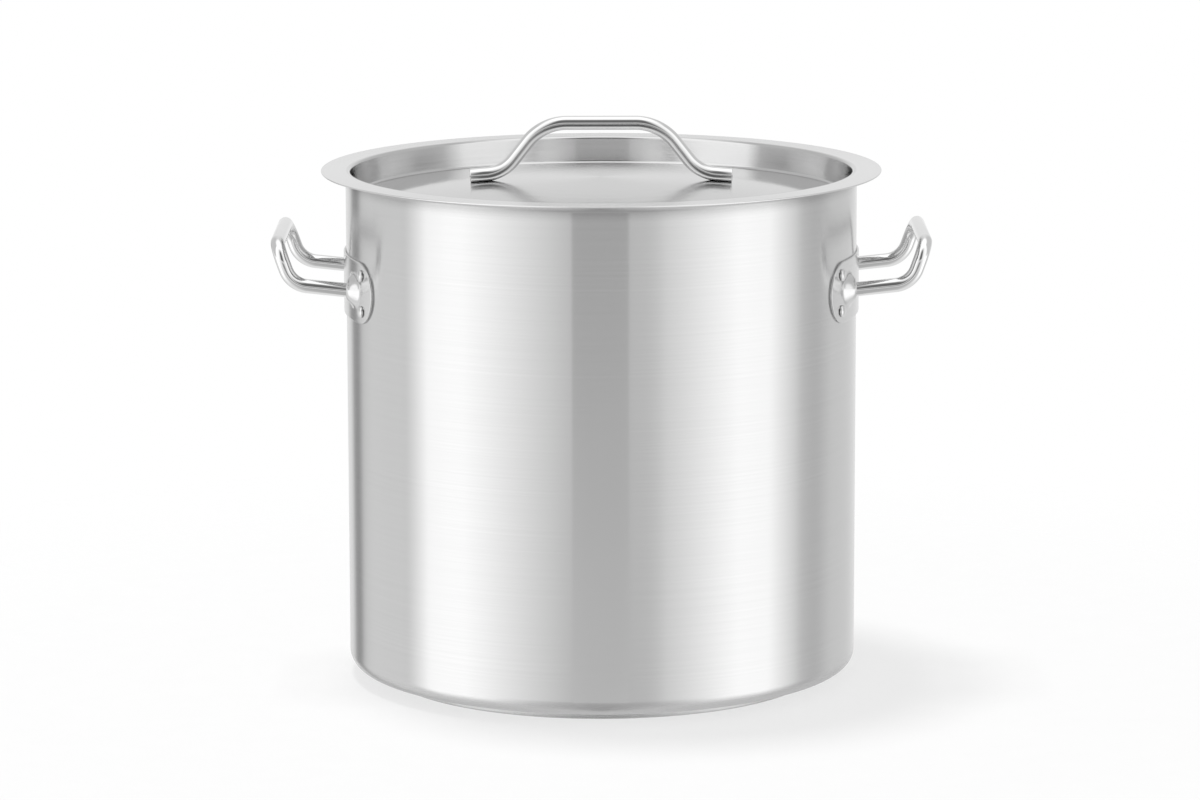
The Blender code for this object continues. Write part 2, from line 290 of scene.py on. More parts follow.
def rivet_pattern_tree():
    """Turns one rivet from its profile and sets eight of them, four to a bracket."""
    tree, given, out = start_tree(
        "rivet_pattern",
        [
            ("Path radius", "Float"),
            ("Steps round", "Int"),
            ("Angle from handle", "Float"),
            ("Pitch", "Float"),
            ("Middle height", "Float"),
            ("Finish", "Material"),
        ],
    )
    rivet = turned_in_tree(tree, given["Geometry"], given["Path radius"], given["Steps round"])
    index = add_node(tree, "GeometryNodeInputIndex").outputs[0]
    side = arithmetic(tree, "FLOOR", arithmetic(tree, "DIVIDE", index, 4.0))
    pair = arithmetic(tree, "FLOOR", arithmetic(tree, "DIVIDE", index, 2.0))
    column = arithmetic(tree, "MODULO", pair, 2.0)
    row = arithmetic(tree, "MODULO", index, 2.0)
    swing = arithmetic(tree, "MULTIPLY_ADD", column, 2.0, -1.0)
    angle = arithmetic(
        tree,
        "ADD",
        arithmetic(tree, "MULTIPLY", side, math.pi),
        arithmetic(tree, "MULTIPLY", swing, given["Angle from handle"]),
    )
    lift = arithmetic(tree, "MULTIPLY", arithmetic(tree, "SUBTRACT", row, 0.5), given["Pitch"])
    height = arithmetic(tree, "ADD", given["Middle height"], lift)
    place = add_node(tree, "ShaderNodeCombineXYZ")
    join(tree, height, place.inputs["Z"])
    turn = add_node(tree, "ShaderNodeCombineXYZ")
    turn.inputs["Y"].default_value = math.pi / 2
    join(tree, angle, turn.inputs["Z"])
    facing = add_node(tree, "FunctionNodeEulerToRotation")
    join(tree, turn.outputs[0], facing.inputs[0])
    points = add_node(tree, "GeometryNodePoints")
    points.inputs["Count"].default_value = 8
    join(tree, place.outputs[0], points.inputs["Position"])
    each = add_node(tree, "GeometryNodeInstanceOnPoints")
    join(tree, points.outputs[0], each.inputs["Points"])
    join(tree, rivet, each.inputs["Instance"])
    join(tree, facing.outputs[0], each.inputs["Rotation"])
    return end_tree(tree, each.outputs[0], given["Finish"], out)


def curve_from(name, points, slim=None):
    """A poly curve through the points. slim scales a swept section at each point."""
    curve = bpy.data.curves.new(name, "CURVE")
    curve.dimensions = "3D"
    line = curve.splines.new("POLY")
    line.points.add(len(points) - 1)
    for given, place, share in zip(line.points, points, slim or [1.0] * len(points)):
        given.co = (*place, 1.0)
        given.radius = share
    return curve


def run_tree(name, tree, curve, sizes):
    """Runs a tree on a curve and keeps the result as a plain mesh piece."""
    guide = bpy.data.objects.new(name + "_guide", curve)
    bpy.context.scene.collection.objects.link(guide)
    step = guide.modifiers.new(tree.name, "NODES")
    step.node_group = tree
    for socket in tree.interface.items_tree:
        if socket.in_out == "INPUT" and socket.name in sizes:
            step[socket.identifier] = sizes[socket.name]
    bpy.context.view_layer.update()
    made = guide.evaluated_get(bpy.context.evaluated_depsgraph_get())
    mesh = bpy.data.meshes.new_from_object(made)
    bpy.data.objects.remove(guide, do_unlink=True)
    bm = bmesh.new()
    bm.from_mesh(mesh)
    return piece_from(name, bm, sizes["Finish"], mesh)


def piece_from(name, bm, finish, mesh=None):
    """Closes a bmesh as a smooth piece at the origin, its faces pointing outwards."""
    bmesh.ops.remove_doubles(bm, verts=bm.verts, dist=WELD)
    bmesh.ops.recalc_face_normals(bm, faces=bm.faces)
    if mesh is None:
        mesh = bpy.data.meshes.new(name)
    mesh.name = name
    bm.to_mesh(mesh)
    bm.free()
    mesh.materials.clear()
    mesh.materials.append(finish)
    mesh.polygons.foreach_set("use_smooth", [True] * len(mesh.polygons))
    mesh.polygons.foreach_set("material_index", [0] * len(mesh.polygons))
    piece = bpy.data.objects.new(name, mesh)
    bpy.context.scene.collection.objects.link(piece)
    return piece


def sharpen(piece):
    """Keeps true corners crisp where a piece is otherwise shaded smooth."""
    piece.data.set_sharp_from_angle(angle=math.radians(CRISP_DEGREES))
    return piece


def fit(piece, body, slot, *nodes):
    """Puts a finished piece on its body in place of the nodes it stands for."""
    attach(piece, body)
    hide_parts(*nodes)


# Profiles

def arc(centre, radius, start, end, steps):
    """Points of an arc in the profile plane, angles in degrees from outwards to up."""
    points = []
    for i in range(steps + 1):
        angle = math.radians(start + (end - start) * i / steps)
        points.append((centre[0] + radius * math.cos(angle), centre[1] + radius * math.sin(angle)))
    return points


def filled(points, longest):
    """Adds points along the long straight runs, and close to their ends, so that the
    shading of a fillet stays within it."""
    kept = [points[0]]
    for (r0, z0), (r1, z1) in zip(points, points[1:]):
        run = math.hypot(r1 - r0, z1 - z0)
        steps = max(1, math.ceil(run / longest))
        shares = [i / steps for i in range(1, steps + 1)]
        if run > 8 * HOLD:
            shares = sorted(shares + [HOLD / run, 1 - HOLD / run])
        kept += [(r0 + (r1 - r0) * share, z0 + (z1 - z0) * share) for share in shares]
    return kept


def turned_piece(name, tree, profile, finish):
    """Turns a profile, given as distances from the axis and heights, about the pot's axis."""
    points = [(radius - TURNING_RADIUS, -height, 0.0) for radius, height in profile]
    sizes = {"Path radius": TURNING_RADIUS, "Steps round": STEPS_ROUND, "Finish": finish}
    return run_tree(name, tree, curve_from(name, points), sizes)


def pot_profile():
    """Inside the bottom, up the wall, over the rolled rim, down outside and under."""
    lip = POT_WALL / 2
    rim = (POT_INSIDE + RIM_BEND, POT_HEIGHT - RIM_BEND)
    corner = (POT_OUTSIDE - POT_CORNER, BASE_HEIGHT + POT_CORNER)
    edge = (POT_OUTSIDE + RIM_REACH - lip, POT_HEIGHT - lip)
    points = [(0.0, BASE_HEIGHT + POT_WALL)]
    points += arc(corner, POT_CORNER - POT_WALL, -90, 0, CORNER_STEPS)
    points += arc(rim, RIM_BEND, 180, 90, RIM_STEPS)
    points += arc(edge, lip, 90, -90, LIP_STEPS)
    points += arc(rim, RIM_BEND - POT_WALL, 90, 180, RIM_STEPS)
    points += arc(corner, POT_CORNER, 0, -90, CORNER_STEPS)
    points.append((0.0, BASE_HEIGHT))
    return filled(points, LONGEST_RUN)


def finish_inside(shell, finish):
    """Gives the faces that look into the pot a finish of their own."""
    shell.data.materials.append(finish)
    for face in shell.data.polygons:
        outwards = Vector((face.center.x, face.center.y, 0.0))
        looks_in = face.normal.dot(outwards.normalized()) < LOOKS_IN or face.normal.z > LOOKS_UP
        if looks_in and outwards.length < POT_INSIDE + FIT_GAP:
            face.material_index = 1


def cap_profile():
    """The cap's cup: outside from the axis, up its edge, and back inside."""
    top = BASE_HEIGHT - FIT_GAP
    lip = CAP_SHEET / 2
    inner = CAP_CORNER - CAP_SHEET
    middle = (BASE_RADIUS - CAP_CORNER, CAP_CORNER)
    points = [(0.0, 0.0)]
    points += arc(middle, CAP_CORNER, -90, 0, CAP_CORNER_STEPS)
    points += arc((BASE_RADIUS - lip, top - lip), lip, 0, 180, CAP_LIP_STEPS)
    points += arc(middle, inner, 0, -90, CAP_LIP_STEPS)
    points.append((0.0, CAP_SHEET))
    return filled(points, LONGEST_RUN)


def plug_foot():
    """Where the plug wall's slope ends and the foot radius begins."""
    wall_top = POT_INSIDE - LID_PLUG_CLEARANCE - LID_SHEET
    drop = LID_DEPTH - LID_SHOULDER - LID_FOOT
    return wall_top, wall_top - drop * math.tan(LID_DRAFT)


def dome_edge():
    """Distance from the axis and height at which the domed panel meets the foot radius."""
    return plug_foot()[1] - LID_FOOT, LID_TOP - LID_DEPTH


def dome_radius():
    """Radius of the ball that the domed panel is part of."""
    edge = dome_edge()[0]
    return (edge**2 + LID_DOME_RISE**2) / (2 * LID_DOME_RISE)


def dome_height(radius):
    """Height of the panel's upper face at this distance from the axis."""
    ball = dome_radius()
    top = dome_edge()[1] + LID_DOME_RISE
    return top - ball + math.sqrt(ball**2 - radius**2)


def lid_profile():
    """Upper skin from the axis to the flange, round its edge, and back underneath."""
    wall_top, wall_foot = plug_foot()
    edge, low = dome_edge()
    draft = math.degrees(LID_DRAFT)
    foot = (wall_foot - LID_FOOT, low + LID_FOOT)
    shoulder = (wall_top + LID_SHOULDER, LID_TOP - LID_SHOULDER)
    lip = LID_SHEET / 2
    reaches = [edge * i / DOME_STEPS for i in range(DOME_STEPS)]
    dome = [(reach, dome_height(reach)) for reach in reaches]
    points = list(dome)
    points += arc(foot, LID_FOOT, -90, -draft, LID_BEND_STEPS)
    points += arc(shoulder, LID_SHOULDER, 180 - draft, 90, LID_BEND_STEPS)
    points += arc((LID_RADIUS - lip, LID_TOP - lip), lip, 90, -90, LIP_STEPS)
    points += arc(shoulder, LID_SHOULDER - LID_SHEET, 90, 180 - draft, LID_BEND_STEPS)
    points += arc(foot, LID_FOOT + LID_SHEET, -draft, -90, LID_BEND_STEPS)
    points += [(radius, height - LID_SHEET) for radius, height in reversed(dome)]
    return filled(points, LONGEST_LID_RUN)


# Rods

def rounded_path(corners, bends):
    """A polyline whose inner corners are arcs of the given radii."""
    path = [corners[0]]
    for before, corner, after, radius in zip(corners, corners[1:], corners[2:], bends):
        back = (before - corner).normalized()
        ahead = (after - corner).normalized()
        half = back.angle(ahead) / 2
        centre = corner + (back + ahead).normalized() * (radius / math.sin(half))
        reach = radius / math.tan(half)
        first = corner + back * reach - centre
        turn = first.rotation_difference(corner + ahead * reach - centre)
        for i in range(BEND_STEPS + 1):
            step = turn.copy()
            step.angle = turn.angle * i / BEND_STEPS
            path.append(centre + step @ first)
    path.append(corners[-1])
    return path


def rod_piece(name, tree, corners, bends, finish):
    """The bar's path with its two ends eased by a small round."""
    path = rounded_path(corners, bends)
    slim = [1.0] * len(path)
    for _ in ("first end", "second end"):
        path.reverse()
        slim.reverse()
        tip = path[0]
        inwards = (path[1] - tip).normalized()
        eased_ends = []
        for i in range(ROD_END_STEPS + 1):
            angle = math.radians(90 * i / ROD_END_STEPS)
            place = tip + inwards * (ROD_END_ROUND * (1 - math.cos(angle)))
            share = 1 - ROD_END_ROUND * (1 - math.sin(angle)) / ROD_RADIUS
            eased_ends.append((place, share))
        path[0:1] = [place for place, _ in eased_ends]
        slim[0:1] = [share for _, share in eased_ends]
    curve = curve_from(name, path, slim)
    sizes = {"Bar radius": ROD_RADIUS, "Sides": ROD_SIDES, "Finish": finish}
    return sharpen(run_tree(name, tree, curve, sizes))


def lid_handle_corners():
    """The rod's feet follow the dome's slope."""
    middle = (LID_GRIP_FOOT + LID_GRIP_END) / 2
    slope = middle / math.sqrt(dome_radius() ** 2 - middle**2)
    foot = dome_height(middle) + FIT_GAP + ROD_RADIUS - LID_GRIP_SEAT
    half = [
        (LID_GRIP_HALF, foot + LID_GRIP_RISE),
        (LID_GRIP_FOOT, foot + slope * (middle - LID_GRIP_FOOT)),
        (LID_GRIP_END, foot - slope * (LID_GRIP_END - middle)),
    ]
    corners = [Vector((-x, 0.0, z)) for x, z in reversed(half)]
    return corners + [Vector((x, 0.0, z)) for x, z in half]


def leg_height(x):
    """Height of a leg's axis at this distance along X."""
    return BRACKET_MIDDLE + LEG_LIFT + (x - BOSS_TOP) * math.tan(LEG_SLOPE)


def side_handle_corners():
    """Leg, corner, riser, grip and back, on the right-hand side."""
    half = LEG_SPACING / 2
    nearest = math.sqrt(POT_OUTSIDE**2 - (half - ROD_RADIUS) ** 2)
    end = nearest + ROD_RADIUS * math.sin(LEG_SLOPE) + 3 * FIT_GAP
    corner = POT_OUTSIDE + LEG_REACH
    places = [
        (end, leg_height(end)),
        (corner, leg_height(corner)),
        (POT_OUTSIDE + GRIP_REACH, BRACKET_MIDDLE + GRIP_LIFT),
    ]
    corners = [Vector((x, -half, z)) for x, z in places]
    return corners + [Vector((x, half, z)) for x, z in reversed(places)]


# Brackets

def eased(share):
    """Runs smoothly from 0 to 1."""
    share = min(max(share, 0.0), 1.0)
    return share * share * (3 - 2 * share)


def boss_lift(along, lift):
    """How far the pressed bosses stand out of the plate here, measured along the leg."""
    most = 0.0
    skirt = BOSS_FOOT_RADIUS + BOSS_FILLET
    crest = BOSS_TOP_RADIUS - BOSS_FILLET
    for side in (-1, 1):
        y = BRACKET_OUTSIDE * math.sin(along / BRACKET_OUTSIDE)
        across = math.hypot(y - side * LEG_SPACING / 2, lift - LEG_LIFT)
        most = max(most, eased((skirt - across) / (skirt - crest)))
    return most


def bracket_piece(name, half_turn, finish):
    """The plate is laid out as rings from its edge to its middle line, pressed into
    bosses round the legs, and wrapped on the wall."""
    tall = BRACKET_TALL / 2
    straight = RIVET_ANGLE * BRACKET_OUTSIDE + BRACKET_BEYOND_RIVET - tall
    outline = []
    for side in (1, -1):
        for i in range(PLATE_STRAIGHT_STEPS):
            outline.append((side * straight * (1 - 2 * i / PLATE_STRAIGHT_STEPS), 0.0, float(side)))
        for i in range(PLATE_END_STEPS):
            angle = side * math.pi / 2 + math.pi * i / PLATE_END_STEPS
            outline.append((-side * straight, math.cos(angle), math.sin(angle)))
    turned = Matrix.Rotation(half_turn * math.pi, 3, "Z")
    edge = BRACKET_EDGE_ROUND
    layers = [(tall, 0.0)]
    for i in range(PLATE_EDGE_STEPS + 1):
        angle = math.radians(90 * i / PLATE_EDGE_STEPS)
        depth = BRACKET_SHEET - edge * (1 - math.sin(angle))
        layers.append((tall - edge * (1 - math.cos(angle)), depth))
    inner = tall - edge
    layers += [(inner * (1 - i / PLATE_RINGS), BRACKET_SHEET) for i in range(1, PLATE_RINGS)]
    rings = []
    bm = bmesh.new()

    def place(along, lift, depth):
        """One point of the plate, by its place along and up the plate and its depth in the sheet."""
        angle = along / BRACKET_OUTSIDE
        out = boss_lift(along, lift) if depth > 0 else 0.0
        radius = BRACKET_INSIDE + depth
        spot = Vector((radius * math.cos(angle), radius * math.sin(angle), BRACKET_MIDDLE + lift))
        if out:
            top = BOSS_TOP - (BRACKET_SHEET - depth)
            spot.x += out * (top - spot.x)
            spot.z += out * (top - spot.x) * math.tan(LEG_SLOPE)
        return bm.verts.new(turned @ spot)

    for reach, depth in [(0.0, 0.0)] + layers + [(0.0, BRACKET_SHEET)]:
        rings.append([place(x + reach * dx, reach * dy, depth) for x, dx, dy in outline])
    for first, second in zip(rings, rings[1:]):
        for i in range(len(outline)):
            bm.faces.new([first[i - 1], first[i], second[i], second[i - 1]])
    return piece_from(name, bm, finish)


# Rivets

def rivet_profile():
    """Button head outside, shank through plate and wall, flat tail inside the pot."""
    seat = BRACKET_OUTSIDE + FIT_GAP
    tail = POT_INSIDE * math.cos(math.pi / WALL_FACETS) - FIT_GAP
    head = RIVET_HEAD / 2
    points = []
    for i in range(BUTTON_STEPS + 1):
        angle = math.radians(90 * i / BUTTON_STEPS)
        button = BUTTON_UPRIGHT + (1 - BUTTON_UPRIGHT) * math.cos(angle) ** BUTTON_CROWN
        points.append((head * math.sin(angle) ** BUTTON_WIDENS, seat + RIVET_HEAD_TALL * button))
    points += [(head, seat), (RIVET_SHANK / 2, seat), (RIVET_SHANK / 2, tail)]
    wide = RIVET_TAIL / 2
    points += [(wide, tail), (wide, tail - RIVET_TAIL_TALL * TAIL_UPRIGHT)]
    for i in range(1, TAIL_STEPS + 1):
        angle = math.radians(90 * i / TAIL_STEPS)
        reach = TAIL_FLAT + (1 - TAIL_FLAT) * math.cos(angle)
        depth = TAIL_UPRIGHT + (1 - TAIL_UPRIGHT) * math.sin(angle)
        points.append((wide * reach, tail - RIVET_TAIL_TALL * depth))
    points.append((0.0, tail - RIVET_TAIL_TALL))
    return points


def rivet_pieces(finish):
    """All eight rivets as one piece."""
    points = [(radius - RIVET_SHANK, -height, 0.0) for radius, height in rivet_profile()]
    sizes = {
        "Path radius": RIVET_SHANK,
        "Steps round": RIVET_SIDES,
        "Angle from handle": RIVET_ANGLE,
        "Pitch": RIVET_PITCH,
        "Middle height": BRACKET_MIDDLE,
        "Finish": finish,
    }
    curve = curve_from("handle_rivets", points)
    return sharpen(run_tree("handle_rivets", rivet_pattern_tree(), curve, sizes))


# Materials

def start_finish(name, colour, roughness, anisotropic=0.0):
    """A plain metal. Where it is brushed round the axis, its gloss spreads across the lines."""
    made = bpy.data.materials.new(name)
    made.use_nodes = True
    tree = made.node_tree
    shader = tree.nodes["Principled BSDF"]
    shader.inputs["Base Color"].default_value = (*colour, 1.0)
    shader.inputs["Metallic"].default_value = 1.0
    shader.inputs["Roughness"].default_value = roughness
    if anisotropic:
        shader.inputs["Anisotropic"].default_value = anisotropic
        shader.inputs["Anisotropic Rotation"].default_value = QUARTER_TURN
        around = add_node(tree, "ShaderNodeTangent", direction_type="RADIAL", axis="Z")
        join(tree, around.outputs["Tangent"], shader.inputs["Tangent"])
    return made, tree, shader


def noise(tree, vector, scale, detail=2.0, rough=0.5):
    made = add_node(tree, "ShaderNodeTexNoise")
    made.inputs["Scale"].default_value = scale
    made.inputs["Detail"].default_value = detail
    made.inputs["Roughness"].default_value = rough
    join(tree, vector, made.inputs["Vector"])
    return made.outputs["Fac"]


def stretched(tree, vector, scale):
    made = add_node(tree, "ShaderNodeMapping")
    made.inputs["Scale"].default_value = scale
    join(tree, vector, made.inputs["Vector"])
    return made.outputs["Vector"]


def brush_lines(tree, vector):
    """Sharp uneven lines, across the direction in which the vector changes fast."""
    return noise(tree, vector, 1.0, detail=3.0, rough=0.6)


def soft_patches(tree, vector):
    return noise(tree, vector, 1.0)


def spread(tree, value, low, high, from_low=NOISE_LOW, from_high=NOISE_HIGH):
    """Takes a value from one range to another, and holds it there past the ends."""
    made = add_node(tree, "ShaderNodeMapRange")
    made.inputs["From Min"].default_value = from_low
    made.inputs["From Max"].default_value = from_high
    made.inputs["To Min"].default_value = low
    made.inputs["To Max"].default_value = high
    join(tree, value, made.inputs["Value"])
    return made.outputs["Result"]


def blended(tree, share, first, second):
    """first where share is 0, second where it is 1. Each is a socket or a number."""
    made = add_node(tree, "ShaderNodeMix", data_type="FLOAT")
    for place, value in ((0, share), (2, first), (3, second)):
        if isinstance(value, (int, float)):
            made.inputs[place].default_value = value
        else:
            join(tree, value, made.inputs[place])
    return made.outputs[0]


def summed(tree, *shares):
    """The sum of sockets, each times its weight."""
    total = 0.0
    for socket, weight in shares:
        total = arithmetic(tree, "MULTIPLY_ADD", socket, weight, total)
    return total


def grey(tree, value):
    made = add_node(tree, "ShaderNodeCombineColor")
    for channel in ("Red", "Green", "Blue"):
        join(tree, value, made.inputs[channel])
    return made.outputs["Color"]


def bumped(tree, height, strength, distance, shader):
    made = add_node(tree, "ShaderNodeBump")
    made.inputs["Strength"].default_value = strength
    made.inputs["Distance"].default_value = distance
    join(tree, height, made.inputs["Height"])
    join(tree, made.outputs["Normal"], shader.inputs["Normal"])


def object_place(tree):
    return add_node(tree, "ShaderNodeTexCoord").outputs["Object"]


def lined(tree, shader, lines, cloud, tone, roughness, shade=None, dulling=0.0):
    """Lets brush lines vary the tone and the polish, and a broad cloud the polish alone.
    A shade is a factor on the tone, painted shade where it comes from the wall's occlusion, and
    dulling takes away polish."""
    polish = spread(tree, lines, roughness - LINE_POLISH, roughness + LINE_POLISH)
    patches = spread(tree, cloud, -PATCH_POLISH, PATCH_POLISH)
    dulled = arithmetic(tree, "ADD", patches, dulling)
    join(tree, arithmetic(tree, "ADD", polish, dulled), shader.inputs["Roughness"])
    bright = spread(tree, lines, tone - LINE_TONE, tone + LINE_TONE)
    if shade is not None:
        bright = arithmetic(tree, "MULTIPLY", bright, shade)
    join(tree, grey(tree, bright), shader.inputs["Base Color"])
    bumped(tree, lines, LINE_STRENGTH, LINE_DEPTH, shader)


def brushed_round_wall(name, tone, roughness, anisotropic):
    """Steel brushed round the pot: fine level lines of uneven length and depth, with shade painted
    into its tone under its overhang.
    """
    made, tree, shader = start_finish(name, (tone, tone, tone), roughness, anisotropic)
    place = object_place(tree)
    fine = brush_lines(tree, stretched(tree, place, WALL_FINE_LINES))
    broad = soft_patches(tree, stretched(tree, place, WALL_BROAD_LINES))
    cloud = soft_patches(tree, stretched(tree, place, WALL_PATCHES))
    # Occlusion by the pot's own rim darkens the base colour below it: painted shade
    painted_rim_shade = add_node(tree, "ShaderNodeAmbientOcclusion", samples=4, only_local=True)
    painted_rim_shade.inputs["Distance"].default_value = PAINTED_SHADE_REACH
    lines = summed(tree, (fine, WALL_FINE_SHARE), (broad, WALL_BROAD_SHARE))
    apart = add_node(tree, "ShaderNodeSeparateXYZ")
    join(tree, place, apart.inputs[0])
    aside = arithmetic(tree, "ABSOLUTE", apart.outputs["X"])
    dulling = spread(tree, aside, 0.0, SIDE_DULLING, DULLING_STARTS, DULLING_FULL)
    lined(tree, shader, lines, cloud, tone, roughness, painted_rim_shade.outputs["AO"], dulling)
    return made


def brushed_in_circles(name, tone, roughness, anisotropic, metallic=1.0, rim_gain=1.0):
    """Steel brushed in circles about the pot's axis. A dull finish, which scatters light,
    is less than fully metallic. The rim gain makes what lies past the pot's wall brighter."""
    made, tree, shader = start_finish(name, (tone, tone, tone), roughness, anisotropic)
    shader.inputs["Metallic"].default_value = metallic
    place = object_place(tree)
    apart = add_node(tree, "ShaderNodeSeparateXYZ")
    join(tree, place, apart.inputs[0])
    x, y, z = apart.outputs
    squares = arithmetic(tree, "MULTIPLY_ADD", x, x, arithmetic(tree, "MULTIPLY", y, y))
    radius = arithmetic(tree, "SQRT", squares)
    swept = add_node(tree, "ShaderNodeCombineXYZ")
    join(tree, arithmetic(tree, "MULTIPLY", x, CIRCLE_DRIFT), swept.inputs["X"])
    join(tree, arithmetic(tree, "MULTIPLY", y, CIRCLE_DRIFT), swept.inputs["Y"])
    join(tree, summed(tree, (radius, CIRCLE_LINES), (z, CIRCLE_LINES)), swept.inputs["Z"])
    lines = brush_lines(tree, swept.outputs[0])
    cloud = soft_patches(tree, stretched(tree, place, CIRCLE_PATCHES))
    rim = spread(tree, radius, 1.0, rim_gain, POT_INSIDE, POT_OUTSIDE)
    lined(tree, shader, lines, cloud, tone, roughness, rim)
    return made


def polished_bar(name, tone, roughness):
    """Bright bar: a mirror polish with faint drawing marks and handling haze."""
    made, tree, shader = start_finish(name, (tone, tone, tone), roughness)
    place = object_place(tree)
    haze = noise(tree, place, BAR_HAZE, detail=3.0, rough=0.6)
    marks = noise(tree, place, BAR_MARKS)
    polish = spread(tree, haze, roughness + HAZE_POLISH[0], roughness + HAZE_POLISH[1])
    scuffs = spread(tree, marks, -MARK_POLISH, MARK_POLISH)
    join(tree, summed(tree, (polish, 1.0), (scuffs, 1.0)), shader.inputs["Roughness"])
    bright = spread(tree, haze, tone - HAZE_TONE, tone + HAZE_TONE)
    join(tree, grey(tree, bright), shader.inputs["Base Color"])
    bumped(tree, marks, MARK_STRENGTH, LINE_DEPTH, shader)
    return made


def satin_plate(name, tone, roughness):
    """Pressed plate: a soft polish with short level rubbing marks."""
    made, tree, shader = start_finish(name, (tone, tone, tone), roughness)
    place = object_place(tree)
    rubbed = brush_lines(tree, stretched(tree, place, PLATE_RUB_MARKS))
    cloud = noise(tree, place, PLATE_PATCHES)
    lined(tree, shader, rubbed, cloud, tone, roughness)
    return made


def rolled_aluminium(name):
    """The enclosed core: dull rolled aluminium with lines along the rolling."""
    made, tree, shader = start_finish(name, CORE_COLOUR, CORE_ROUGHNESS)
    lines = brush_lines(tree, stretched(tree, object_place(tree), CORE_ROLLING_LINES))
    join(tree, spread(tree, lines, *CORE_POLISH), shader.inputs["Roughness"])
    join(tree, grey(tree, spread(tree, lines, *CORE_TONE)), shader.inputs["Base Color"])
    bumped(tree, lines, LINE_STRENGTH, LINE_DEPTH, shader)
    return made


# Stage

# The camera, fitted to the photograph's outlines
CAMERA_PLACE = (-0.00115, -3.620, 0.847)
CAMERA_TILT = math.radians(79.81)
CAMERA_ROLL = math.radians(-0.109)
CAMERA_LENS = 154.5
CAMERA_SENSOR = 36.0
CAMERA_CLIP = (0.1, 50.0)
# The soft lamp, and the height on the pot's axis that it faces
KEY_PLACE = (-0.75, 0.50, 6.00)
KEY_SIZE = 1.3
KEY_POWER = 215.0
KEY_AIM = 0.15
# What the metal sees round the pot, in degrees from the camera's side with left
# negative. A panel is an edge, half its softness, the other edge, half its softness,
# and a brightness. The low ones stand below the level of the camera, the high ones above.
LOW_PANELS = [
    (-132, 5, -96, 8, 0.89),
    (-92, 7, -40, 25, 1.48),
    (42, 22, 92, 11, 1.47),
    (104, 6, 121, 6, 0.63),
    (-153, 3, -140, 3, 0.34),
    (12, 1, 24, 5, 0.74),
]
LOW_GROUND = 0.80
LOW_BEHIND = 0.90
HIGH_PANELS = [
    (-77, 4, -26, 24, 1.36),
    (24, 22, 74, 6, 1.25),
]
HIGH_GROUND = 0.68
HIGH_BEHIND = 0.85
# Where the part behind the pot begins and is full, in degrees from the front
BEHIND = (150.0, 174.0)
# Heights of a direction, from -1 straight down to 1 straight up, between which the low panels
# give way to the high ones, the floor to the panels, and the panels to the light overhead
LOW_TO_HIGH = (-0.05, 0.03)
FLOOR_TO_PANELS = (-0.80, -0.45)
PANELS_TO_OVERHEAD = (0.80, 0.95)
# The grey card in front of the pot: its edges and their softness, its level low down, at mid
# height and high up, and the heights between which it goes from low to middle
CARD_EDGES = (-13, 12)
CARD_SOFTNESS = 0.5
CARD_LOW = 1.05
CARD_MIDDLE = 0.32
CARD_HIGH = 0.68
CARD_LOW_TO_MIDDLE = (-0.23, -0.15)
# The floor close to the pot, which the bottom corner shows
NEAR_FLOOR = 0.92
# Grey stretches by height, above the camera and at the foot of the card. A reach is where
# a stretch is full and where it has gone, in degrees from the front
DARK_ABOVE = (0.17, 0.03, 0.80, 0.10, 0.16)
DARK_REACH = (10, 24)
CARD_FOOT = (-1.20, 0.05, -0.30, 0.04, 0.52)
CARD_REACH = (6, 56)
# The light overhead, and the even light on all that is not metal
OVERHEAD = 1.4
EVEN_LIGHT = 0.50
# The floor: its size, where it starts to fade and has gone, its tones and grain, and how much
# white the camera sees in it
FLOOR_RADIUS = 0.80
FLOOR_SIDES = 96
FLOOR_FADE = (0.45, 0.78)
FLOOR_TONE = (0.89, 0.91)
FLOOR_GRAIN = 40.0
FLOOR_ROUGHNESS = 0.8
FLOOR_LIFT = 0.70
# The metal sees this share of the floor under the pot, and none of it past the second radius
FLOOR_IN_METAL = 0.37
UNDER_POT = (0.180, 0.215)


def add_panel(tree, turn, under, start, start_soft, end, end_soft, bright):
    """Lays one panel over what is already round the pot."""
    rise = spread(tree, turn, 0.0, 1.0, start - start_soft, start + start_soft)
    fall = spread(tree, turn, 1.0, 0.0, end - end_soft, end + end_soft)
    return blended(tree, arithmetic(tree, "MULTIPLY", rise, fall), under, bright)


def ring_of_panels(tree, turn, ground, behind, panels, card):
    """The level all round the pot: ground, the part behind the pot, panels, front card."""
    away = arithmetic(tree, "ABSOLUTE", turn)
    level = blended(tree, spread(tree, away, 0.0, 1.0, *BEHIND), ground, behind)
    for panel in panels:
        level = add_panel(tree, turn, level, *panel)
    left, right = CARD_EDGES
    return add_panel(tree, turn, level, left, CARD_SOFTNESS, right, CARD_SOFTNESS, card)


